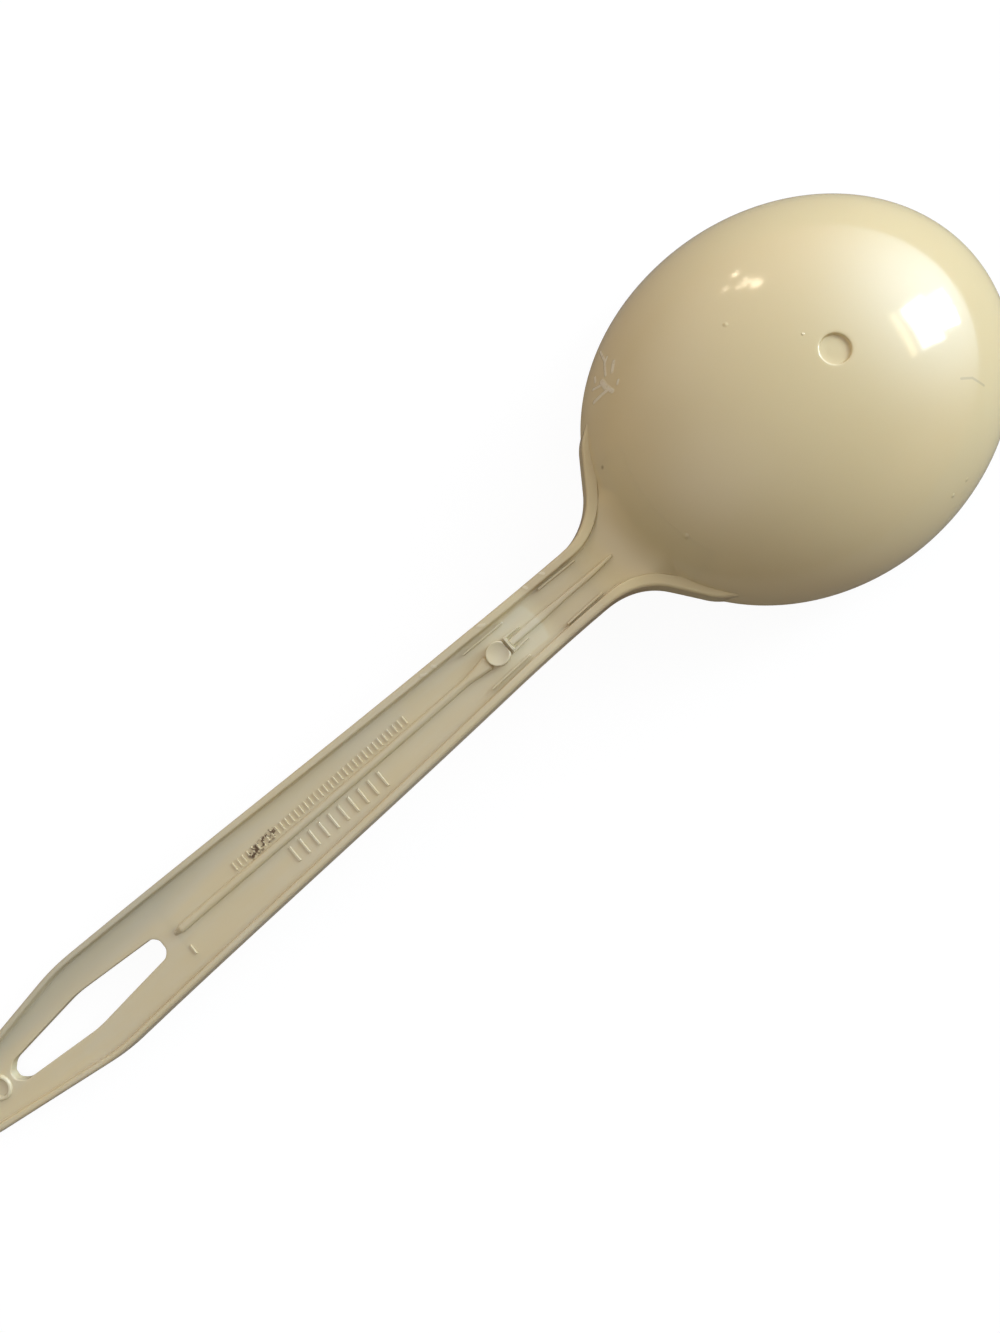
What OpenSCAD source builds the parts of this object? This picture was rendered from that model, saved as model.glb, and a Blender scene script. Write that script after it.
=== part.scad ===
// A moulded plastic ladle, lying face down on its far rim and the end of its handle.
// Each solid is one moulded feature of the ladle. +X points from the handle's tail to the bowl, +Z up.

/* [Bowl] */
// Length of the oval rim, along the handle
bowl_length = 102; // [96:1:108]
// Width of the oval rim
bowl_width = 86; // [82:1:92]
// Outside depth, from the rim's plane to the crown
bowl_depth = 26.5; // [25:0.5:30]
// Thickness of the bowl's wall
bowl_wall = 2.2; // [1.8:0.1:2.6]
// How far the oval's widest level lies beyond the rim, which gives the wall its draft
wall_draft = 3; // [2:0.5:4]
// Lean of the rim's plane when the ladle lies face down
rim_tilt = 8; // [6:0.5:10]
// Diameter of the round recess in the crown
crown_recess_d = 6.6; // [5:0.1:8]
// Depth of that recess
crown_recess_depth = 0.7; // [0.4:0.1:1]

/* [Handle] */
// Length of the whole ladle as it lies
overall_length = 310; // [304:1:316]
// Width of the tail end
tail_w = 15; // [13:0.5:17]
// Width where the two edge lines meet beside the hanging hole
grip_w = 26.4; // [25:0.2:28]
// Distance of that place from the tail end
grip_place = 45.6; // [42:0.2:48]
// Width of the waist, next to the bowl
waist_w = 15.8; // [15:0.2:17]
// Thickness of the handle's floor
floor_t = 2.4; // [2:0.1:2.8]
// Height of the edge rails above the front face
rail_h = 4.4; // [4:0.1:5]
// Width of an edge rail
rail_w = 2; // [1.6:0.1:2.4]
// Radius of the bend between the shaft and the bowl, on the front face
bend_r = 140; // [120:5:160]

/* [Neck] */
// Length of handle that stays in the rim's plane, past the rim
neck_flat = 9; // [7:0.5:11]
// Radius of the outer edge where the handle flares into the bowl
flare_r = 15.5; // [14:0.5:17]
// Turn of that edge
flare_angle = 47; // [45:0.5:48]
// Radius of the channel's edge where it opens onto the bowl
funnel_r = 12; // [10:0.5:13]
// Turn of the channel's edge
funnel_angle = 50; // [48:0.5:52]
// Radius of the hollow blend from the channel's floor up to the bowl
blend_r = 16; // [15:0.5:17]

/* [Hanging hole] */
// Length of the hole
hole_length = 51.4; // [48:0.2:54]
// Width at its middle
hole_w = 9.2; // [8:0.2:10]
// Radius of its two ends
hole_end_r = 2.3; // [2:0.1:2.6]
// Distance of the hole from the tail end
hole_place = 18; // [17:0.5:20]

/* [Ribs and bosses] */
// Width of the centre rib
rib_w = 1.6; // [1.2:0.1:2]
// Height of the ribs above the floor
rib_h = 1.2; // [0.8:0.1:1.6]
// Distance from the tail end to the start of the centre rib
rib_place = 74; // [73:0.5:76]
// Diameter of the pad where the plastic was let into the mould
pad_d = 5.4; // [4.8:0.1:6]
// Height of the pad above the floor
pad_h = 1.8; // [1.4:0.1:2]
// Distance from the bowl's centre back to the pad
pad_place = 86; // [85:0.5:88]
// Outside diameter of the ring at the tail
ring_d = 6.4; // [5.6:0.2:7]
// Width of the ring's wall
ring_wall = 1; // [0.8:0.1:1.2]
// Height of the ring above the floor
ring_h = 0.8; // [0.6:0.1:1]
// Distance of the ring's centre from the tail end
ring_place = 13; // [12:0.5:13.5]

/* [Hidden] */
$fn = 144;

plastic = [0.86, 0.8, 0.64];
plastic_light = [0.9, 0.85, 0.71];
reach = 60;

// The bowl: an oval dome, cut at the rim's plane.
half_length = bowl_length / 2;
oval = bowl_width / bowl_length;
dome_h = bowl_depth + wall_draft;
dome_a = half_length / sqrt(1 - pow(wall_draft / dome_h, 2));
dome_b = dome_a * oval;
bowl_x = overall_length / 2 - half_length * cos(rim_tilt);
bowl_z = half_length * sin(rim_tilt);
tail_x = -overall_length / 2;

// The side line: straight from the tail, an arc, then the rim's plane.
flat_end = half_length + neck_flat;
arc_start = [bowl_x - flat_end * cos(rim_tilt), bowl_z + flat_end * sin(rim_tilt)];
arc_centre = arc_start - bend_r * [sin(rim_tilt), cos(rim_tilt)];
tail_run = arc_centre.x - tail_x;
handle_slope = atan2(tail_run, -arc_centre.y) - acos(bend_r / norm([tail_run, arc_centre.y]));
arc_end = arc_centre + bend_r * [-sin(handle_slope), cos(handle_slope)];

// Places along the handle.
grip_x = tail_x + grip_place;
waist_x = bowl_x - 76;
flare_x = bowl_x - 55.3;
funnel_x = bowl_x - 52.9;
neck_x = bowl_x - 62;
loop_x = tail_x + rib_place;
pad_x = bowl_x - pad_place;
hole_x = tail_x + hole_place;
tail_r = 5;
shoulder_r = 80;
waist_r = 600;
arc_steps = 10;
overlap = 0.01;

function unit(v) = v / norm(v);
function ray(angle) = [cos(angle), sin(angle)];
function turn(angle) = angle > 180 ? angle - 360 : angle < -180 ? angle + 360 : angle;

// The points of an arc of radius r that rounds the corner at b, between a and c.
function corner(a, b, c, r) =
    let (u = unit(a - b), v = unit(c - b), half = acos(u * v) / 2,
         centre = b + unit(u + v) * r / sin(half),
         from = b + u * r / tan(half) - centre, to = b + v * r / tan(half) - centre,
         start = atan2(from.y, from.x), sweep = turn(atan2(to.y, to.x) - start))
    [for (i = [0:arc_steps]) centre + r * ray(start + sweep * i / arc_steps)];

// A path with each corner rounded by its own radius, 0 where it stays sharp.
function rounded(path, radii) =
    [for (i = [0:len(path) - 1])
        each radii[i] == 0 ? [path[i]] : corner(path[i - 1], path[i], path[i + 1], radii[i])];

function mirrored(path) = [for (i = [len(path) - 1:-1:0]) [path[i].x, -path[i].y]];

// Half the handle's plan, from the tail's middle to inside the bowl.
outer_edge = rounded(
    [[tail_x, 0], [tail_x, tail_w / 2], [grip_x, grip_w / 2], [waist_x, waist_w / 2],
     [flare_x, waist_w / 2], [flare_x, waist_w / 2] + 22.7 * ray(flare_angle), [bowl_x - 25, 0]],
    [0, tail_r, shoulder_r, waist_r, flare_r, 0, 0]);

// Half the channel between the rails.
channel_edge = rounded(
    [[tail_x + rail_w, 0], [tail_x + rail_w, tail_w / 2 - rail_w], [grip_x, grip_w / 2 - rail_w],
     [waist_x, waist_w / 2 - rail_w], [funnel_x, waist_w / 2 - rail_w],
     [funnel_x, waist_w / 2 - rail_w] + 18 * ray(funnel_angle), [bowl_x - 25, 0]],
    [0, tail_r - rail_w, shoulder_r, waist_r, funnel_r, 0, 0]);

// Half the hanging hole, a long lens with rounded ends.
hole_edge = rounded(
    [[hole_x, 0], [hole_x, hole_end_r * 0.9], [hole_x + hole_length / 2, hole_w / 2 + 0.1],
     [hole_x + hole_length, hole_end_r * 0.9], [hole_x + hole_length, 0]],
    [0, hole_end_r * 0.8, 30, hole_end_r * 0.8, 0]);

// A slice of the handle's side view, from lo to hi above the front face.
module side_slice(lo, hi) {
    translate(arc_centre) intersection() {
        difference() {
            circle(bend_r + hi, $fn = 720);
            circle(bend_r + lo, $fn = 720);
        }
        polygon([[0, 0], 2 * bend_r * ray(90 + handle_slope + overlap),
                 2 * bend_r * ray(90 - rim_tilt - overlap)]);
    }
    translate(arc_end) rotate(handle_slope) translate([-overall_length, lo])
        square([overall_length, hi - lo]);
    translate(arc_start) rotate(-rim_tilt) translate([0, lo]) square([reach, hi - lo]);
}

module slab(lo, hi) {
    rotate([90, 0, 0]) linear_extrude(2 * reach, center = true) side_slice(lo, hi);
}

module prism(points) {
    translate([0, 0, -reach]) linear_extrude(2 * reach) polygon(points);
}

// What lies between two places along the handle.
module between(from, to) {
    translate([from, -reach, -reach]) cube([to - from, 2 * reach, 2 * reach]);
}

module at_bowl() {
    translate([bowl_x, 0, bowl_z]) rotate([0, rim_tilt, 0]) children();
}

module dome(inset = 0) {
    translate([0, 0, -wall_draft]) scale([dome_a - inset, dome_b - inset, dome_h - inset]) sphere(1);
}

// The hollow blend round the bowl's foot. Its curve runs out just below the floor's surface.
module skirt() {
    toe = half_length + 8.2;
    at_bowl() scale([1, oval, 1]) rotate_extrude() difference() {
        translate([half_length - 12, 0]) square([toe - half_length + 12, 11]);
        translate([toe, floor_t + blend_r - 0.06]) circle(blend_r);
    }
}

module bowl() {
    color(plastic) at_bowl() difference() {
        dome();
        dome(bowl_wall);
        translate([0, 0, -reach]) cube([2 * reach, 2 * reach, 2 * reach], center = true);
        translate([0, 0, bowl_depth - crown_recess_depth])
            cylinder(d = crown_recess_d, h = bowl_wall);
    }
}

module neck() {
    color(plastic) difference() {
        union() {
            intersection() {
                union() {
                    slab(0, floor_t);
                    skirt();
                }
                prism(concat(channel_edge, mirrored(channel_edge)));
                between(neck_x, bowl_x);
            }
            intersection() {
                skirt();
                slab(rail_h, reach);
                prism(concat(outer_edge, mirrored(outer_edge)));
                between(neck_x, bowl_x);
            }
        }
        at_bowl() dome();
    }
}

module shaft() {
    color(plastic_light) intersection() {
        slab(0, floor_t);
        prism(concat(channel_edge, mirrored(channel_edge)));
        between(loop_x, neck_x);
    }
}

module hanging_loop() {
    color(plastic_light) difference() {
        intersection() {
            slab(0, floor_t);
            prism(concat(channel_edge, mirrored(channel_edge)));
            between(tail_x, loop_x);
        }
        prism(concat(hole_edge, mirrored(hole_edge)));
    }
}

module rail() {
    color(plastic) difference() {
        intersection() {
            slab(0, rail_h);
            difference() {
                prism(outer_edge);
                prism(concat(channel_edge, mirrored(channel_edge)));
            }
        }
        at_bowl() dome();
    }
}

module left_rail() {
    rail();
}

module right_rail() {
    mirror([0, 1, 0]) rail();
}

// The rib swells into a foot just before the pad.
module centre_rib() {
    half = rib_w / 2;
    foot = 2.2;
    color(plastic_light) difference() {
        intersection() {
            slab(floor_t, floor_t + rib_h);
            prism([[loop_x, -half], [pad_x - 9, -half], [pad_x, -foot], [pad_x, foot],
                   [pad_x - 9, half], [loop_x, half]]);
        }
        translate([pad_x, 0, 0]) cylinder(d = pad_d, h = reach);
    }
}

// The pad is a disc sheared off square on its bowl side.
module gate_pad() {
    color(plastic_light) intersection() {
        slab(floor_t, floor_t + pad_h);
        translate([pad_x, 0, 0]) cylinder(d = pad_d, h = reach);
        between(pad_x - pad_d, pad_x + pad_d * 0.35);
    }
}

// The rib goes on past the pad and tapers away up the neck.
module neck_rib() {
    from = pad_x + 3.2;
    half = rib_w * 0.42;
    color(plastic_light) difference() {
        intersection() {
            slab(floor_t, floor_t + rib_h);
            prism([[from, -half], [bowl_x - 60, -half], [bowl_x - 55, -0.3], [bowl_x - 55, 0.3],
                   [bowl_x - 60, half], [from, half]]);
        }
        skirt();
    }
}

// Two short thin ridges, one each side of the rib.
module gate_ridges() {
    color(plastic_light) for (side = [-1, 1]) intersection() {
        slab(floor_t, floor_t + 0.7);
        translate([pad_x + 3.2, side * 1.6 - 0.2, -reach]) cube([4, 0.4, 2 * reach]);
    }
}

// Thin beads that the mould left just inside the rails.
module inner_beads() {
    bead = [0.4, 2.8];
    color(plastic_light) for (side = [-1, 1], place = [[-92, -81], [-71, -61]]) intersection() {
        slab(floor_t, floor_t + 0.7);
        translate([bowl_x + place[0], side * (waist_w / 2 - bead[1]) - bead[0] / 2, -reach])
            cube([place[1] - place[0], bead[0], 2 * reach]);
    }
}

module tail_ring() {
    color(plastic_light) intersection() {
        slab(floor_t, floor_t + ring_h);
        translate([tail_x + ring_place, 0, -reach]) difference() {
            cylinder(d = ring_d, h = 2 * reach);
            cylinder(d = ring_d - 2 * ring_wall, h = 2 * reach);
        }
    }
}

// Two rows of plain raised ticks, one each side of the rib.
module grip_ticks() {
    fine = [bowl_x - 164, 36, 1.5, 0.45, 2.2, 3.4];
    coarse = [bowl_x - 151, 10, 3, 0.7, 4, -3.5];
    color(plastic_light) intersection() {
        slab(floor_t, floor_t + 0.35);
        for (row = [fine, coarse], i = [0:row[1] - 1])
            translate([row[0] + i * row[2], row[5] - row[4] / 2, -reach])
                cube([row[3], row[4], 2 * reach]);
    }
}

bowl();
neck();
shaft();
hanging_loop();
left_rail();
right_rail();
centre_rib();
neck_rib();
gate_pad();
gate_ridges();
inner_beads();
tail_ring();
grip_ticks();
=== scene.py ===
"""A cream plastic ladle, lying on its face on a pale table, seen from its back."""
from math import acos, asin, atan2, ceil, cos, degrees, hypot, pi, radians, sin, sqrt, tan

import bmesh
import bpy
from mathutils import Matrix, Vector


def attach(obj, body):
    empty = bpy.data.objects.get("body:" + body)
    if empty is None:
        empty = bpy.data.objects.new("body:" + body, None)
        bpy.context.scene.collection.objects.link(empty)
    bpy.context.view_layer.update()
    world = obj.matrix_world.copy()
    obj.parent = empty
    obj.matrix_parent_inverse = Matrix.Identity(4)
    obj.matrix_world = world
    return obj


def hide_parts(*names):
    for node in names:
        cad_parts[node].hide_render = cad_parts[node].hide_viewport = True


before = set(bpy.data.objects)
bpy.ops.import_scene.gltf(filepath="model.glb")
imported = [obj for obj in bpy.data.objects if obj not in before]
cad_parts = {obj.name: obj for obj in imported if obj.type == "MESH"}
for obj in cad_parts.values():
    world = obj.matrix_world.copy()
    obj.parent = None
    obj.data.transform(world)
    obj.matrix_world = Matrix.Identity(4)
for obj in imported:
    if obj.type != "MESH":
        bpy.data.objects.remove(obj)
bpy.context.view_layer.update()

# Sizes are in millimetres until a mesh is finished. The rim is an oval, the bowl part of an
# ellipsoid whose side leans out a little at the rim, and the rim's plane leans by TILT.
LENGTH = 310
TAIL = -LENGTH / 2
RIM_A, RIM_B, DEPTH, WALL, DRAFT = 51, 43, 26.5, 2.2, 3
TILT = radians(8)
OVAL = RIM_B / RIM_A
DOME_H = DEPTH + DRAFT
DOME_A = RIM_A / sqrt(1 - (DRAFT / DOME_H) ** 2)
BOWL_X = LENGTH / 2 - RIM_A * cos(TILT)
BOWL_Z = RIM_A * sin(TILT)
BEND = 140
FLOOR, RAIL, FOOT = 2.4, 4.4, 0.35  # the floor's and the rails' thickness, and the fillet between
NECK_X = BOWL_X - 62
LOOP_X = TAIL + 74
PAD_X = BOWL_X - 86

# The side line of the handle's front face: straight from the tail, an arc, then the rim's plane.
ARC_X = BOWL_X - 60 * cos(TILT) - BEND * sin(TILT)
ARC_Z = BOWL_Z + 60 * sin(TILT) - BEND * cos(TILT)
SLOPE = atan2(ARC_X - TAIL, -ARC_Z) - acos(BEND / hypot(ARC_X - TAIL, ARC_Z))


def lean(x):
    """The front face's slope at x."""
    if x < ARC_X - BEND * sin(SLOPE):
        return SLOPE
    if x > ARC_X + BEND * sin(TILT):
        return -TILT
    return -atan2(x - ARC_X, sqrt(BEND ** 2 - (x - ARC_X) ** 2))


def front(x):
    """The front face's height at x."""
    slope = lean(x)
    if slope == SLOPE:
        return (x - TAIL) * tan(SLOPE)
    if slope == -TILT:
        return BOWL_Z - (x - BOWL_X) * tan(TILT)
    return ARC_Z + sqrt(BEND ** 2 - (x - ARC_X) ** 2)


def smooth(low, high, value):
    """0 at low, 1 at high, with soft ends."""
    t = min(max((value - low) / (high - low), 0), 1)
    return t * t * (3 - 2 * t)


def bow(x):
    """The handle isn't quite straight: it bends a little to one side towards the bowl."""
    along = x - BOWL_X
    return (0.2 - 0.95 * smooth(-205, -95, along)) * (1 - smooth(-62, -43, along))


def place(x, y, height):
    """The point that stands at a height over the front face's point x, y."""
    slope = lean(x)
    return Vector((x - height * sin(slope), y + bow(x), front(x) + height * cos(slope)))


def around(radius, angle, height):
    """A point round the bowl, in the rim's frame. The radius is the one along the length."""
    return place(BOWL_X - radius * cos(angle) * cos(TILT), OVAL * radius * sin(angle), height)


def table(pairs, value):
    """Straight lines through a few pairs."""
    for (x0, y0), (x1, y1) in zip(pairs, pairs[1:]):
        if value <= x1:
            return y0 + (y1 - y0) * min(max((value - x0) / (x1 - x0), 0), 1)
    return pairs[-1][1]


def corner(a, b, c, r, steps):
    """An arc of radius r that rounds the corner at b."""
    u, v = (a - b).normalized(), (c - b).normalized()
    half = acos(u.dot(v)) / 2
    centre = b + (u + v).normalized() * r / sin(half)
    first, last = b + u * r / tan(half) - centre, b + v * r / tan(half) - centre
    start = atan2(first.y, first.x)
    sweep = (atan2(last.y, last.x) - start + pi) % (2 * pi) - pi
    turns = [start + sweep * i / steps for i in range(steps + 1)]
    return [centre + r * Vector((cos(t), sin(t))) for t in turns]


def rounded(path, radii, steps=14):
    """A path with its corners rounded, 0 where one stays sharp."""
    path = [Vector(p) for p in path]
    points = []
    for i, r in enumerate(radii):
        points += corner(path[i - 1], path[i], path[i + 1], r, steps) if r else [path[i]]
    return points


# Half of the handle's outline, and half of the channel between its rails, from the tail to the bowl.
OUTER = rounded([(TAIL, 0), (TAIL, 7.6), (TAIL + 44.5, 13.5), (BOWL_X - 76, 7.9), (BOWL_X - 54.3, 7.9),
                 (BOWL_X - 43.7, 22.6), (BOWL_X - 36, 28)],
                [0, 5, 60, 600, 15.5, 12, 0])
INNER = rounded([(TAIL + 2, 0), (TAIL + 2, 5.6), (TAIL + 44.5, 11.6), (BOWL_X - 76, 5.45),
                 (BOWL_X - 53.2, 5.3), (BOWL_X - 43, 17.5), (BOWL_X - 34, 24)],
                [0, 3, 60, 600, 16, 12, 0])


def stations():
    """Pairs of points along the two outlines, closer together near the bowl."""
    pairs = []
    for i in range(len(OUTER) - 1):
        run = (OUTER[i + 1] - OUTER[i]).length
        count = ceil(run / (1.5 if OUTER[i].x < NECK_X - 6 else 0.5))
        for k in range(count):
            pairs.append((OUTER[i].lerp(OUTER[i + 1], k / count), INNER[i].lerp(INNER[i + 1], k / count)))
    return pairs + [(OUTER[-1], INNER[-1])]


STATIONS = stations()
FEET = [i + (i - o).normalized() * FOOT for o, i in STATIONS]


def foot_y(x):
    """Half the floor's width at x."""
    for a, b in zip(FEET, FEET[1:]):
        if a.x <= x <= b.x:
            return a.y + (b.y - a.y) * (x - a.x) / max(b.x - a.x, 1e-9)
    return FEET[-1].y


def arc(cx, cy, r, start, end, steps):
    """Points on an arc of a section."""
    turns = [radians(start + (end - start) * i / steps) for i in range(steps + 1)]
    return [(cx + r * cos(t), cy + r * sin(t)) for t in turns]


def skin(rows, columns, spot):
    """A grid whose corners go where spot(row, column) says, closed where its edges meet."""
    bm = bmesh.new()
    bmesh.ops.create_grid(bm, x_segments=rows, y_segments=columns, size=0.5)
    for v in bm.verts:
        v.co = spot(round((v.co.x + 0.5) * rows), round((v.co.y + 0.5) * columns))
    return bm


def finish(bm, name, *nodes):
    """Closes a piece, gives it its finish and puts it in the frame."""
    bmesh.ops.remove_doubles(bm, verts=bm.verts, dist=0.0005)
    bmesh.ops.holes_fill(bm, edges=bm.edges, sides=0)
    bmesh.ops.recalc_face_normals(bm, faces=bm.faces)
    bmesh.ops.scale(bm, vec=(0.001, 0.001, 0.001), verts=bm.verts)
    mesh = bpy.data.meshes.new(name)
    bm.to_mesh(mesh)
    bm.free()
    mesh.shade_smooth()
    mesh.set_sharp_from_angle(angle=radians(38))
    mesh.materials.append(PLASTIC)
    piece = bpy.data.objects.new(name, mesh)
    bpy.context.scene.collection.objects.link(piece)
    even = piece.modifiers.new("even normals", "WEIGHTED_NORMAL")
    even.keep_sharp = True
    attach(piece, "root")
    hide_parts(*nodes)
    return piece


class Wire:
    """A shader socket that sums can be written with."""

    def __init__(self, paint, socket):
        self.paint, self.socket = paint, socket

    def sum(self, operation, *values):
        return self.paint.node("ShaderNodeMath", {"operation": operation}, dict(enumerate(values)))

    def __add__(self, other):
        return self.sum("ADD", self, other)

    def __sub__(self, other):
        return self.sum("SUBTRACT", self, other)

    def __rsub__(self, other):
        return self.sum("SUBTRACT", other, self)

    def __mul__(self, other):
        return self.sum("MULTIPLY", self, other)

    __radd__, __rmul__ = __add__, __mul__


class Paint:
    """The nodes of a material or of the room."""

    def __init__(self, owner):
        owner.use_nodes = True
        self.tree = owner.node_tree
        self.tree.nodes.clear()

    def node(self, kind, settings, values, output=0):
        """A node with its settings and the values or wires of its sockets. Gives one of its outputs."""
        made = self.tree.nodes.new(kind)
        for key, value in settings.items():
            setattr(made, key, value)
        for key, value in values.items():
            if isinstance(value, Wire):
                self.tree.links.new(value.socket, made.inputs[key])
            else:
                made.inputs[key].default_value = value
        return Wire(self, made.outputs[output]) if made.outputs else made

    def noise(self, where, scale, detail=2, roughness=0.5):
        return self.node("ShaderNodeTexNoise", {}, {"Vector": where, "Scale": scale, "Detail": detail,
                                                    "Roughness": roughness}, "Fac")

    def ramp(self, value, low, high, to_low=0.0, to_high=1.0):
        return self.node("ShaderNodeMapRange", {"interpolation_type": "SMOOTHSTEP"},
                         {"Value": value, "From Min": low, "From Max": high,
                          "To Min": to_low, "To Max": to_high}, "Result")

    def vector(self, operation, *values, output=0):
        return self.node("ShaderNodeVectorMath", {"operation": operation}, dict(enumerate(values)), output)

    def scaled(self, vector, scale):
        return self.node("ShaderNodeVectorMath", {"operation": "SCALE"}, {0: vector, "Scale": scale})

    def mix(self, factor, first, second):
        return self.node("ShaderNodeMix", {"data_type": "RGBA"}, {0: factor, 6: first, 7: second}, 2)


def dome_height(x, y, inset=0):
    """The dome's height over the rim's plane."""
    a, b, h = DOME_A - inset, DOME_A * OVAL - inset, DOME_H - inset
    return h * sqrt(max(1 - (x / a) ** 2 - (y / b) ** 2, 0)) - DRAFT


def on_dome(x, y):
    """The point on the dome over x, y of the rim's plane, in metres."""
    flat = Vector((BOWL_X + x * cos(TILT), y, BOWL_Z - x * sin(TILT)))
    return (flat + dome_height(x, y) * Vector((sin(TILT), 0, cos(TILT)))) * 0.001


def on_handle(x, y, height):
    """The point at a height over the front face, with x from the bowl's middle, in metres."""
    return place(BOWL_X + x, y, height) * 0.001


def line(paint, spot, points, width):
    """1 along a chain of points, fading out at width millimetres from it."""
    mark = 0
    for a, b in zip(points, points[1:]):
        run = b - a
        reach = paint.vector("SUBTRACT", spot, tuple(a))
        share = paint.vector("DOT_PRODUCT", reach, tuple(run / run.length_squared), output="Value")
        share = paint.node("ShaderNodeClamp", {}, {"Value": share})
        off = paint.vector("DISTANCE", reach, paint.scaled(tuple(run), share), output="Value")
        near = paint.ramp(off, width * 0.001, width * 0.0004)
        mark = near.sum("MAXIMUM", near, mark)
    return mark


def dot(paint, spot, centre, radius):
    """1 at a point, fading out at radius millimetres from it."""
    return paint.ramp(paint.vector("DISTANCE", spot, tuple(centre), output="Value"), radius * 0.001, 0)


# Scratches on the dome as a width and points on the rim's plane, nicks on a rail as places along
# the handle, and pimples on the dome as a point and a radius.
SCRATCHES = [(0.45, [(-27.3, 35.1), (-29.2, 32.1), (-31.7, 29.2)]), (0.6, [(-28.9, 30), (-30.7, 28.5)]),
             (0.4, [(-28.4, 32.3), (-29.9, 31.4)]), (0.9, [(-33, 28.8), (-33.6, 27.1)]),
             (0.7, [(-33.4, 27.6), (-33.7, 25.1)]), (0.6, [(-33.5, 26.1), (-36.7, 26.8)]),
             (0.45, [(-34.7, 29.3), (-33.7, 28.3)]), (0.5, [(-32.5, 31.2), (-33.3, 30.2)]),
             (0.4, [(-31.5, 25.9), (-32.2, 25.4)])]
NICKS = [(-101.6, -100.2), (-98.4, -97.9), (-85.6, -84.2), (-73, -72.6), (-68.6, -68)]
PIMPLES = [(-11.5, 18.3, 0.7), (-42.8, -8.3, 0.9), (5.7, -37.8, 0.7), (10.3, -37.2, 0.6), (-2.8, 6.4, 0.4)]


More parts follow.
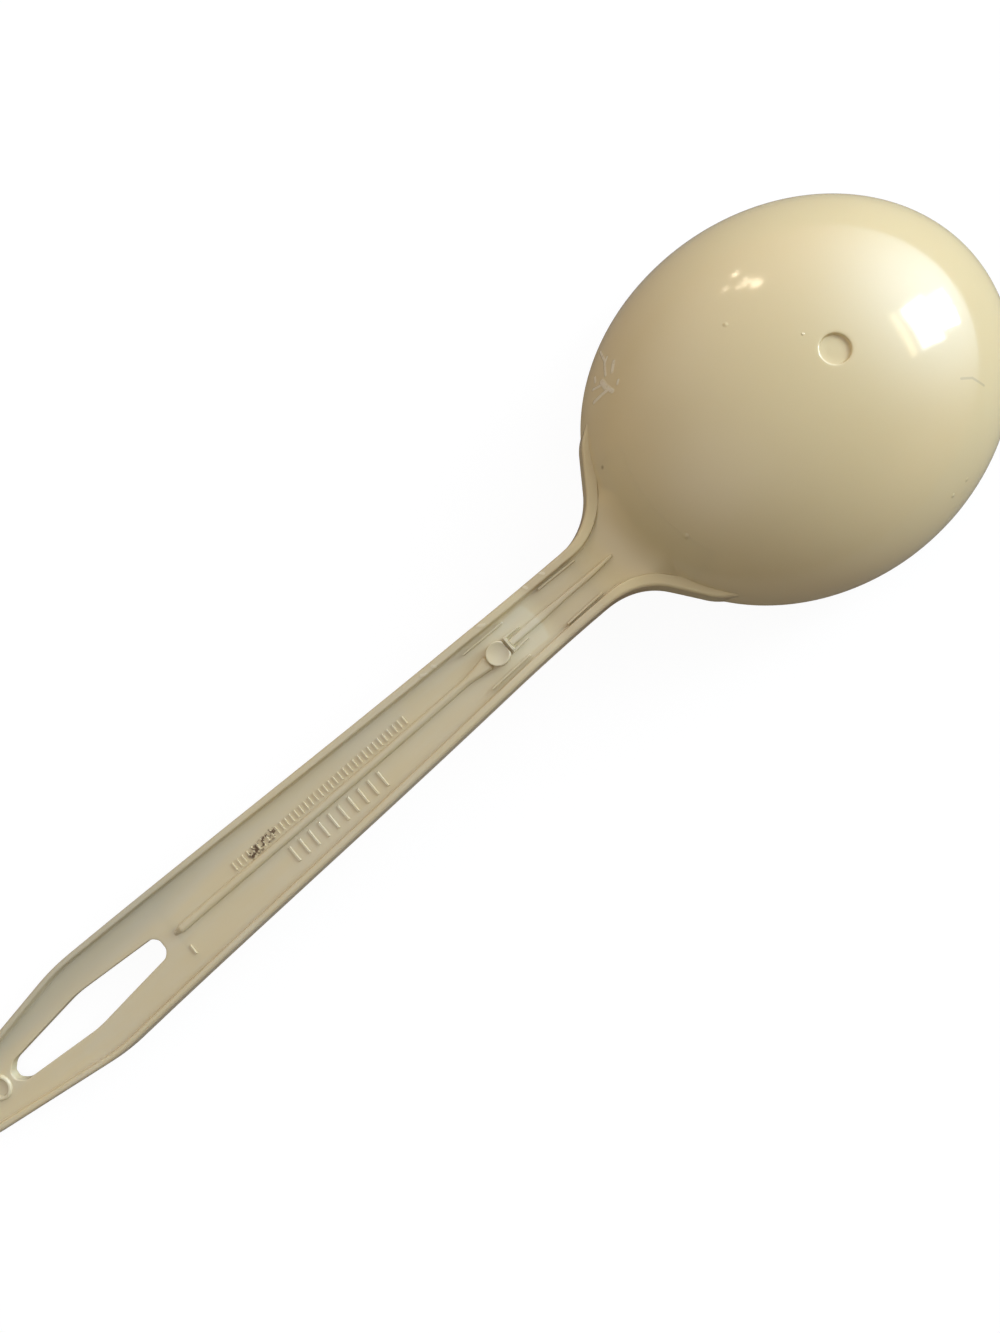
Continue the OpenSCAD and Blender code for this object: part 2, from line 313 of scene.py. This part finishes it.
def cream_plastic():
    """Cream plastic with flow marks, scratches and a little old food, and painted reflection, shade and a
    highlight.
    """
    material = bpy.data.materials.new("cream plastic")
    paint = Paint(material)
    spot = paint.node("ShaderNodeTexCoord", {}, {}, "Object")
    across = paint.node("ShaderNodeSeparateXYZ", {}, {"Vector": spot}, "Y")
    along = paint.node("ShaderNodeSeparateXYZ", {}, {"Vector": spot}, "X")
    broad = paint.noise(spot, 18, 3)
    fine = paint.noise(spot, 900, 3, 0.7)
    flow = paint.noise(paint.vector("MULTIPLY", spot, (40, 260, 260)), 1, 3)
    colour = paint.mix(paint.ramp(broad, 0.35, 0.65), (0.735, 0.61, 0.345, 1), (0.765, 0.64, 0.37, 1))

    on_grip = paint.ramp(along, (BOWL_X - 58) * 0.001, (BOWL_X - 66) * 0.001)
    # Painted reflection: the whole grip is painted paler and greyer, standing in for the sky's reflection;
    # the stretched flow noise streaks it into flow marks.
    colour = paint.mix(on_grip * paint.ramp(flow, 0.35, 0.7, 0.3, 0.7), colour, (0.73, 0.66, 0.475, 1))
    # Painted shade: on the grip the channel floor turns darker and greyer towards the upper rail, more
    # strongly towards the tail.
    shade = on_grip * paint.ramp(across, 0.003, 0.0085) * paint.ramp(along, (BOWL_X - 150) * 0.001,
                                                                     (BOWL_X - 185) * 0.001, 0.1, 0.5)
    colour = paint.mix(shade, colour, (0.52, 0.5, 0.38, 1))
    # Painted shade: the floor is painted darker from about 76 to 54 mm before the bowl's middle.
    throat_shade = paint.ramp(along, (BOWL_X - 76) * 0.001, (BOWL_X - 71) * 0.001) * paint.ramp(
        along, (BOWL_X - 54) * 0.001, (BOWL_X - 63) * 0.001)
    colour = paint.mix(throat_shade * 0.55, colour, (0.55, 0.44, 0.27, 1))

    # Painted highlight: a pale round patch, about 12 mm in radius, on the channel floor round the gate.
    gate = paint.vector("DISTANCE", spot, tuple(on_handle(-86, 0, FLOOR)), output="Value")
    inside = paint.ramp(paint.node("ShaderNodeMath", {"operation": "ABSOLUTE"}, {0: across + 0.0005}),
                        0.0049, 0.0044)
    gate_highlight = paint.ramp(gate + 0.0006 * fine, 0.0122, 0.0112) * inside * paint.ramp(
        along, (BOWL_X - 92) * 0.001, (BOWL_X - 80) * 0.001)
    colour = paint.mix(gate_highlight * 0.45, colour, (0.8, 0.76, 0.58, 1))

    scratch = 0
    for width, points in SCRATCHES:
        mark = line(paint, spot, [on_dome(x, y) for x, y in points], width)
        scratch = mark.sum("MAXIMUM", mark, scratch)
    for start, end in NICKS:
        mark = line(paint, spot, [on_handle(start, 7.4, RAIL), on_handle(end, 6.6, RAIL)], 0.45)
        scratch = mark.sum("MAXIMUM", mark * 0.5, scratch)
    scratch = scratch * paint.ramp(fine, 0.3, 0.5, 0.6, 1)
    colour = paint.mix(scratch * 0.75, colour, (0.88, 0.81, 0.62, 1))

    crumbs = line(paint, spot, [on_handle(-158.5, 2.2, FLOOR), on_handle(-151.5, 3, FLOOR)], 1.7)
    crumbs = crumbs * paint.ramp(paint.noise(spot, 1100, 2, 0.6), 0.5, 0.58)
    colour = paint.mix(crumbs * 0.9, colour, (0.1, 0.045, 0.015, 1))
    speck = dot(paint, spot, on_dome(-44.9, 14.7), 0.7)
    colour = paint.mix(speck * 0.6, colour, (0.2, 0.13, 0.07, 1))
    hair = line(paint, spot, [on_dome(18.1, -20.4), on_dome(20.8, -21.8), on_dome(22.8, -24.5)], 0.35)
    colour = paint.mix(hair * 0.35, colour, (0.35, 0.3, 0.22, 1))

    raised = scratch * 0.8
    for x, y, radius in PIMPLES:
        raised = raised + dot(paint, spot, on_dome(x, y), radius)
    ripple = paint.noise(spot, 45, 2)
    swell = paint.node("ShaderNodeBump", {}, {"Strength": 0.08, "Distance": 0.0004, "Height": ripple})
    bump = paint.node("ShaderNodeBump", {}, {"Strength": 0.7, "Distance": 0.0002, "Height": raised,
                                             "Normal": swell})
    rough = paint.ramp(broad, 0.3, 0.7, 0.07, 0.11) + on_grip * 0.16 + scratch * 0.25 + crumbs * 0.3
    shader = paint.node("ShaderNodeBsdfPrincipled", {}, {
        "Base Color": colour, "Roughness": rough, "IOR": 1.5,
        "Subsurface Weight": 0.12, "Subsurface Radius": (0.004, 0.003, 0.002), "Subsurface Scale": 1.0,
        "Normal": bump})
    paint.node("ShaderNodeOutputMaterial", {}, {"Surface": shader})
    return material


PLASTIC = cream_plastic()


def wall_radius(height, inset):
    """The dome's radius at a height over the rim's plane."""
    return (DOME_A - inset) * sqrt(1 - ((height + DRAFT) / (DOME_H - inset)) ** 2)


def bowl():
    """The oval dome is turned from its profile, then drawn narrower."""
    recess = [(0, -0.7), (1.4, -0.7), (2.7, -0.69), (3.0, -0.64), (3.12, -0.5), (3.2, -0.25), (3.28, -0.08),
              (3.4, -0.02), (3.6, 0)]
    profile = [(r, 0, drop) for r, drop in recess]
    low = 0.9
    top = degrees(acos(4.2 / DOME_A))
    foot = degrees(atan2((low + DRAFT) / DOME_H, sqrt(1 - ((low + DRAFT) / DOME_H) ** 2)))
    for i in range(65):
        t = radians(top + (foot - top) * i / 64)
        profile.append((DOME_A * cos(t), 0, 0))
    edge = wall_radius(low, 0)
    profile += [(edge + 0.03, 1, 0.66), (edge + 0.05, 1, 0.4)]
    profile += [(50.93, 1, 0.2), (50.8, 1, 0.06), (50.6, 1, 0)]
    inner = wall_radius(0.3, WALL)
    profile += [(inner + 0.55, 1, 0), (inner + 0.3, 1, 0.05), (inner + 0.12, 1, 0.2), (inner, 1, 0.4)]
    for i in range(1, 51):
        r = (DOME_A - WALL) * sin(radians(82 * (1 - i / 50)))
        profile.append((min(r, inner - 0.02 * i), 2, 0))
    bm = bmesh.new()
    chain = [bm.verts.new((r, kind, value)) for r, kind, value in profile]
    links = [bm.edges.new(pair) for pair in zip(chain, chain[1:])]
    facts = [(v.co.x, round(v.co.y), v.co.z) for v in chain]
    for v, (r, kind, value) in zip(chain, facts):
        height = value
        if kind == 0:
            height = dome_height(r, 0) + value
        elif kind == 2:
            height = (DOME_H - WALL) * sqrt(max(1 - (r / (DOME_A - WALL)) ** 2, 0)) - DRAFT
        v.co = (r, 0, height)
    bmesh.ops.spin(bm, geom=chain + links, cent=(0, 0, 0), axis=(0, 0, 1), dvec=(0, 0, 0),
                   angle=2 * pi, steps=288, use_merge=True, use_normal_flip=False, use_duplicate=False)
    bmesh.ops.remove_doubles(bm, verts=bm.verts, dist=0.001)
    for v in bm.verts:
        r = hypot(v.co.x, v.co.y)
        narrow = 1 + (OVAL - 1) * (smooth(3, 14, r) if v.co.z > 24.5 else 1)
        x, y = v.co.x, v.co.y * narrow
        rise = dome_height(x, y) - dome_height(r, 0) if narrow > OVAL else 0
        v.co = place(BOWL_X + x * cos(TILT), y, 0) + (v.co.z + rise) * Vector((sin(TILT), 0, cos(TILT)))
    return finish(bm, "bowl", "bowl")


def in_wall(x, y, height):
    """Moves a hidden point out of the bowl's hollow, to the middle of its wall."""
    along = (x - BOWL_X) / cos(TILT)
    radius = hypot(along, y / OVAL)
    least = wall_radius(height, WALL / 2)
    if along > -30 or radius >= least or radius < 20:
        return place(x, y, height)
    return place(BOWL_X + along * least / radius * cos(TILT), y * least / radius, height)


def rail(side, name):
    """A section follows the outline from the tail's middle to where it dies out in the bowl's wall."""

    def section(width):
        return ([(0.3, 0), (0.1, 0.08), (0.02, 0.3), (0.38, RAIL - 0.8)]
                + arc(0.39 + 0.75, RAIL - 0.75, 0.75, 174, 90, 7)
                + arc(width - 0.15 - 0.35, RAIL - 0.35, 0.35, 90, 4, 4)
                + arc(width + FOOT, FLOOR + FOOT, FOOT, 180, 270, 4)
                + [(width + FOOT, 0), (width * 0.5, 0), (0.3, 0)])

    lines = len(section(2)) - 1

    def spot(row, column):
        outer, inner = STATIONS[row]
        across = (inner - outer).normalized()
        reach, height = section((inner - outer).length)[column]
        p = outer + across * reach
        return in_wall(p.x, side * p.y, height)

    return finish(skin(len(STATIONS) - 1, lines, spot), name, name)


def shaft():
    """The floor from the grip to the neck."""
    xs = [LOOP_X] + [f.x for f in FEET if LOOP_X + 0.5 < f.x < NECK_X - 0.5] + [NECK_X]
    top = 16

    def spot(row, column):
        x = xs[row]
        half = foot_y(x)
        if column <= top:
            return place(x, half * (2 * column / top - 1), FLOOR)
        return place(x, half * (1 if column == top + 1 else -1), 0 if column < top + 3 else FLOOR)

    return finish(skin(len(xs) - 1, top + 3, spot), "shaft", "shaft")


def hollow(radius):
    """Where a hollow of this radius, resting on the floor, touches the dome."""
    low, high = 0.05, 1.2
    for _ in range(40):
        t = (low + high) / 2
        steep = atan2(sin(t) / DOME_H, cos(t) / DOME_A)
        if DOME_H * sin(t) - DRAFT + radius * sin(steep) < FLOOR + radius:
            low = t
        else:
            high = t
    return t, steep, DOME_A * cos(t) + radius * cos(steep)


# Half the angle that the blend takes up round the bowl, at each radius.
MOUTH = [(47, 22), (48.6, 20.7), (49.3, 17.7), (50.1, 15.1), (50.5, 14.3), (52, 11.3), (53.9, 9.1),
         (55.8, 7.6), (57.4, 6.8), (59, 6.2)]


def neck():
    """The channel's floor runs up to the bowl's foot and sweeps up on to the dome."""
    flat, sweep, dome, across = 8, 20, 10, 28
    rows = flat + sweep + dome

    def top(row, f):
        toe_half = degrees(asin(foot_y(BOWL_X - 58.2) / (58.76 * OVAL)))
        if row < flat:
            angle = radians(toe_half * f)
            x0, y0 = NECK_X, foot_y(NECK_X) * f
            toe = hollow(14)[2]
            x1, y1 = BOWL_X - toe * cos(angle) * cos(TILT), toe * OVAL * sin(angle)
            k = row / flat
            return x0 + (x1 - x0) * k, y0 + (y1 - y0) * k, FLOOR, None
        q = min((row - flat) / sweep, 1)
        guess = 58.76 - 14 * sin(q * radians(55))
        rise = 16.4 - 14 * cos(q * radians(55)) - FLOOR
        wide = toe_half if q == 0 else table(MOUTH, guess) + 1.4 * min(rise / 0.3, 1)
        angle = radians(wide * f)
        radius = 14 - 10 * smooth(11, 19, abs(wide * f))
        t, steep, centre = hollow(radius)
        if row <= flat + sweep:
            turn = q * (pi / 2 - steep)
            r, height = centre - radius * sin(turn), FLOOR + radius - radius * cos(turn)
            if q == 1:
                height += 0.012
        else:
            t += (radians(31) - t) * (row - flat - sweep) / dome
            r, height = DOME_A * cos(t) + 0.012 * cos(t), DOME_H * sin(t) - DRAFT + 0.012
        return BOWL_X - r * cos(angle) * cos(TILT), OVAL * r * sin(angle), height, (t, angle, q)

    def spot(row, column):
        under = column > across
        f = 2 * (column if not under else 2 * across + 1 - column) / across - 1
        if column == 2 * across + 2:
            under, f = False, -1
        x, y, height, facts = top(row, f)
        if not under:
            return place(x, y, height)
        raised = 0.05 if abs(f) > 0.8 else 0
        if row <= flat:
            return place(x, y, raised)
        t, angle, q = facts
        if row <= flat + sweep:
            r = 58.7 + (50.6 - 58.7) * q
            wide = table(MOUTH, r) + 0.5
            return around(r, radians(wide * f), raised)
        return around((DOME_A - 1.1) * cos(t), angle, (DOME_H - 1.1) * sin(t) - DRAFT)

    return finish(skin(rows, 2 * across + 2, spot), "neck", "neck")


def along(path, count):
    """Points at even distances along a path."""
    runs = [0]
    for a, b in zip(path, path[1:]):
        runs.append(runs[-1] + (b - a).length)
    marks = list(zip(runs, path))
    points = []
    for i in range(count + 1):
        want = runs[-1] * i / count
        k = max(1, next(j for j, r in enumerate(runs) if r >= want - 1e-9))
        step = (want - runs[k - 1]) / max(runs[k] - runs[k - 1], 1e-9)
        points.append(marks[k - 1][1].lerp(marks[k][1], step))
    return points


def hanging_loop():
    """The floor of the grip is a closed band round the lens-shaped hole."""
    left, right = TAIL + 17.4, TAIL + 69.5
    hole = rounded([(left, 0), (left, 1), (left + 2.2, 2.8), ((left + right) / 2, 4.8), (right - 1.4, 2.8),
                    (right, 1.3), (right, 0)], [0, 1.3, 4, 30, 2.2, 1.5, 0])
    inner = along(hole, 120)
    side = [f for f in FEET if f.x < LOOP_X - 0.5] + [Vector((LOOP_X, foot_y(LOOP_X)))]
    end = [Vector((LOOP_X, foot_y(LOOP_X))), Vector((LOOP_X, 0))]
    outer = along(side, 108) + along(end, 12)[1:]
    section = [(0, 0.25), (0, FLOOR - 0.3)] + [(0.3 - 0.3 * cos(t), FLOOR - 0.3 + 0.3 * sin(t))
                                                for t in (0.4, 0.8, 1.2, pi / 2)]
    steps = len(section)
    spread = [0.12, 0.3, 0.55, 0.8, 1]

    def spot(row, column):
        k = row if row <= 120 else 240 - row
        sign = 1 if row <= 120 else -1
        a, b = inner[k], outer[k]
        out = (b - a).normalized()
        if column < steps:
            p = a + out * section[column][0]
            return place(p.x, sign * p.y, section[column][1])
        column -= steps
        if column < len(spread):
            start = a + out * 0.3
            p = start.lerp(b, spread[column])
            return place(p.x, sign * p.y, FLOOR)
        column -= len(spread)
        p, height = [(b, 0), (a + out * 0.3, 0), (a + out * 0.08, 0.08), (a, 0.25)][column]
        return place(p.x, sign * p.y, height)

    return finish(skin(240, steps + len(spread) + 3, spot), "hanging_loop", "hanging_loop")


def ridge(path, height, crown=0.35, foot=0.25, slope=0):
    """A bar along the handle. Its path holds x, y and half width. It may start with a slope."""
    stops = []
    for (x0, y0, w0), (x1, y1, w1) in zip(path, path[1:]):
        count = max(1, ceil((x1 - x0) / 1.5))
        stops += [(x0 + (x1 - x0) * k / count, y0 + (y1 - y0) * k / count, w0 + (w1 - w0) * k / count)
                      for k in range(count)]
    stops.append(path[-1])
    ends = [(e, sqrt(1 - (1 - 2 * e) ** 2)) for e in (0, 0.04, 0.15, 0.4)]
    x0, y0, w0 = stops[0]
    x1, y1, w1 = stops[-1]
    head = [(x0 + w0 * e, y0, w0, k) for e, k in ends]
    tail = [(x1 - w1 * e, y1, w1, k) for e, k in ends]
    if slope:
        head = [(x0 + slope * e, y0, w0, e) for e in (0, 0.2, 0.4, 0.6, 0.8, 1)]
    full = head + [(x, y, w, 1) for x, y, w in stops if head[-1][0] + 0.1 < x < x1 - w1 * 0.5] + tail[::-1]

    def section(w, k):
        w, h = w * (0.3 + 0.7 * k), height * (0.2 + 0.8 * k)
        edge = min(crown, w * 0.9, h * 0.9)
        half = ([(w + foot, -0.3)] + [(w + foot - foot * sin(t), foot - foot * cos(t) - 0.04)
                                     for t in (0, 0.5, 1.0, 1.4)]
                + [(w - edge + edge * cos(t), h - edge + edge * sin(t)) for t in (0.15, 0.55, 1, 1.57)])
        return half + [(-x, y) for x, y in half[::-1]] + [half[0]]

    lines = len(section(1, 1)) - 1

    def spot(row, column):
        x, y, w, k = full[row]
        across, up = section(w, k)[column]
        return place(x, y + across, FLOOR + up)

    return skin(len(full) - 1, lines, spot)


def joined(name, nodes, parts):
    """One piece from several small closed forms."""
    whole = bmesh.new()
    for part in parts:
        bmesh.ops.remove_doubles(part, verts=part.verts, dist=0.0005)
        bmesh.ops.holes_fill(part, edges=part.edges, sides=0)
        mesh = bpy.data.meshes.new("part")
        part.to_mesh(mesh)
        part.free()
        whole.from_mesh(mesh)
        bpy.data.meshes.remove(mesh)
    return finish(whole, name, *nodes)


def turned(profile, x, y, base, steps=64):
    """A small turned form that stands on the handle."""
    bm = bmesh.new()
    chain = [bm.verts.new((r, 0, h)) for r, h in profile]
    links = [bm.edges.new(pair) for pair in zip(chain, chain[1:])]
    bmesh.ops.spin(bm, geom=chain + links, cent=(0, 0, 0), axis=(0, 0, 1), dvec=(0, 0, 0),
                   angle=2 * pi, steps=steps, use_merge=True, use_normal_flip=False, use_duplicate=False)
    bmesh.ops.remove_doubles(bm, verts=bm.verts, dist=0.001)
    for v in bm.verts:
        v.co = place(x + v.co.x, y + v.co.y, base + v.co.z)
    return bm


def block(x, y, length, width, height):
    """A small raised block whose top is narrower than its foot."""
    bm = bmesh.new()
    bmesh.ops.create_cube(bm, size=1)
    for v in bm.verts:
        top = v.co.z > 0
        v.co = place(x + v.co.x * length * (0.6 if top else 1), y + v.co.y * width * (0.9 if top else 1),
                     FLOOR + (height if top else -0.03))
    return bm


def details():
    """The rib, the gate and the other small raised forms on the handle's floor."""
    rib = ridge([(LOOP_X - 0.3, 0, 1), (PAD_X - 9, 0, 0.85), (PAD_X - 2.4, 0, 1.7)], 1.3,
                crown=0.75, slope=2.4)
    finish(rib, "centre_rib", "centre_rib")
    rib = ridge([(PAD_X + 3.2, 0, 0.8), (BOWL_X - 74, 0, 0.85), (BOWL_X - 68, 0, 0.6),
                 (BOWL_X - 60, 0, 0.55), (BOWL_X - 54.4, 0, 0.35)], 1.2, crown=0.5)
    finish(rib, "neck_rib", "neck_rib")
    pad = turned([(0, 1.62), (2.1, 1.62), (2.25, 1.72), (2.5, 1.74), (2.66, 1.62), (2.72, 1.3), (2.75, 0.1),
                  (2.75, -0.2), (0, -0.2)], PAD_X, 0, FLOOR)
    for v in pad.verts:
        v.co.x = min(v.co.x, PAD_X + 2.1)
    finish(pad, "gate_pad", "gate_pad")
    ring = turned([(2.0, -0.2), (2.05, 0.1), (2.15, 0.45), (2.35, 0.62), (2.6, 0.68), (2.85, 0.62),
                   (3.05, 0.45), (3.15, 0.1), (3.2, -0.2), (2.0, -0.2)], TAIL + 13, 0, FLOOR, 96)
    finish(ring, "tail_ring", "tail_ring")
    joined("gate_ridges", ["gate_ridges"],
           [ridge([(PAD_X + 2.7, side * 1.75, 0.3), (PAD_X + 7, side * 1.6, 0.2)], 0.9, crown=0.2, foot=0.1)
            for side in (-1, 1)] + [block(PAD_X + 3.1, 0, 0.8, 3.4, 1.5)])
    joined("inner_beads", ["inner_beads"],
           [ridge([(BOWL_X + a, side * 4.9, 0.25), (BOWL_X + b, side * 4.6, 0.25)], 0.85,
                  crown=0.2, foot=0.15)
            for side in (-1, 1) for a, b in ((-92, -81), (-71, -61))])
    ticks = []
    for start, count, pitch, w, long, y in ((-164, 36, 1.5, 0.22, 2.2, 2.7), (-151, 10, 3, 0.35, 4.2, -4)):
        for i in range(count):
            ticks.append(block(BOWL_X + start + i * pitch + w, y, 2 * w, long, 0.27))
    ticks.append(block(BOWL_X - 184.5, -5.5, 0.5, 2.6, 0.3))
    joined("grip_ticks", ["grip_ticks"], ticks)


bowl()
neck()
shaft()
hanging_loop()
rail(1, "left_rail")
rail(-1, "right_rail")
details()


def camera():
    """Above the neck, close to the ladle, with the handle running to the picture's lower left."""
    lens = bpy.data.cameras.new("camera")
    lens.sensor_fit = "VERTICAL"
    lens.sensor_height = 36
    lens.lens = 36 * 1000 / 1333
    lens.clip_start = 0.01
    eye = bpy.data.objects.new("camera", lens)
    bpy.context.scene.collection.objects.link(eye)
    right = Vector((0.75463778, -0.64829095, -0.1011962))
    down = Vector((-0.65281022, -0.75734484, -0.01635882))
    ahead = right.cross(down).normalized()
    turn = Matrix((right, -down, -ahead)).transposed().to_4x4()
    eye.matrix_world = Matrix.Translation(Vector((BOWL_X - 73.5, -19.9, 233.3)) * 0.001) @ turn
    bpy.context.scene.camera = eye


def table_top():
    """White to the camera, with a faint shadow, and darker to the light that it sends back."""
    bm = bmesh.new()
    bmesh.ops.create_grid(bm, x_segments=1, y_segments=1, size=3)
    mesh = bpy.data.meshes.new("table")
    bm.to_mesh(mesh)
    bm.free()
    top = bpy.data.objects.new("table", mesh)
    bpy.context.scene.collection.objects.link(top)
    material = bpy.data.materials.new("white table")
    paint = Paint(material)
    seen = paint.node("ShaderNodeLightPath", {}, {}, "Is Camera Ray")
    tone = paint.mix(seen, (0.36, 0.34, 0.31, 1), (0.85, 0.85, 0.84, 1))
    plain = paint.node("ShaderNodeBsdfDiffuse", {}, {"Color": tone})
    glow = paint.node("ShaderNodeEmission", {}, {"Color": (1, 1, 1, 1), "Strength": 1.05})
    both = paint.node("ShaderNodeMixShader", {}, {0: seen * 0.9, 1: plain, 2: glow})
    paint.node("ShaderNodeOutputMaterial", {}, {"Surface": both})
    mesh.materials.append(material)


def towards(azimuth, height):
    """The direction at an azimuth and a height angle in degrees."""
    a, e = radians(azimuth), radians(height)
    return Vector((cos(a) * cos(e), sin(a) * cos(e), sin(e)))


def lamp(name, aim, azimuth, height, width, tall, glow, colour=(1, 1, 1), distance=1.2):
    """A soft rectangular lamp of a given brightness, seen in that direction from the point aim."""
    light = bpy.data.lights.new(name, "AREA")
    light.shape = "RECTANGLE"
    light.size, light.size_y = width, tall
    light.energy, light.color = glow * pi * width * tall, colour
    source = bpy.data.objects.new(name, light)
    bpy.context.scene.collection.objects.link(source)
    way = towards(azimuth, height)
    source.location = Vector(aim) + way * distance
    source.rotation_euler = way.to_track_quat("Z", "Y").to_euler()


def room():
    """Soft light from a few directions: cool and strong from beyond the bowl, warm and weak elsewhere."""
    world = bpy.data.worlds.new("room")
    bpy.context.scene.world = world
    paint = Paint(world)
    way = paint.node("ShaderNodeTexCoord", {}, {}, "Generated")
    total = (0, 0, 0)
    for azimuth, height, power, colour in ((0, 18, 10, (4.4, 5.5, 6.6)), (45, 18, 8, (0.75, 0.4, 0.3)),
                                           (135, 18, 8, (0.5, 0.35, 0.2)), (315, 18, 8, (0.6, 0.3, 0.15)),
                                           (180, 66, 8, (1.15, 1.12, 1.1)), (90, 40, 8, (0.5, 0.5, 0.55))):
        facing = paint.vector("DOT_PRODUCT", way, tuple(towards(azimuth, height)), output="Value")
        lobe = facing.sum("POWER", facing.sum("MAXIMUM", facing, 0), power)
        total = paint.vector("ADD", paint.scaled(colour, lobe), total)
    seen = paint.node("ShaderNodeLightPath", {}, {}, "Is Camera Ray")
    back = paint.node("ShaderNodeBackground", {}, {"Color": paint.mix(seen, total, (1, 1, 1, 1)),
                                                   "Strength": 1.0})
    paint.node("ShaderNodeOutputWorld", {}, {"Surface": back})


def light():
    """A bright window of four panes beyond the bowl, and a small far one on the left."""
    room()
    shine = (0.127, -0.006, 0.028)
    for azimuth, height, width, tall in ((-11.3, 23, 0.162, 0.23), (-2.7, 23.4, 0.158, 0.23),
                                         (-9.8, 11.7, 0.115, 0.2), (-3.6, 12, 0.11, 0.2)):
        lamp("window pane", shine, azimuth, height, width, tall, 15, (0.84, 0.94, 1))
    lamp("window blind", shine, -7, 32.5, 0.34, 0.04, 9, (1, 0.85, 0.5))
    for azimuth, height, width, tall in ((53.5, 29, 0.06, 0.04), (57, 24.5, 0.03, 0.03),
                                         (60, 18.5, 0.04, 0.03), (56.5, 26.5, 0.15, 0.02),
                                         (64, 24, 0.03, 0.02)):
        lamp("far window", (0.106, 0.023, 0.029), azimuth, height, width, tall, 26, (1, 0.84, 0.62))


camera()
table_top()
light()

bpy.context.scene.view_settings.view_transform = "Standard"
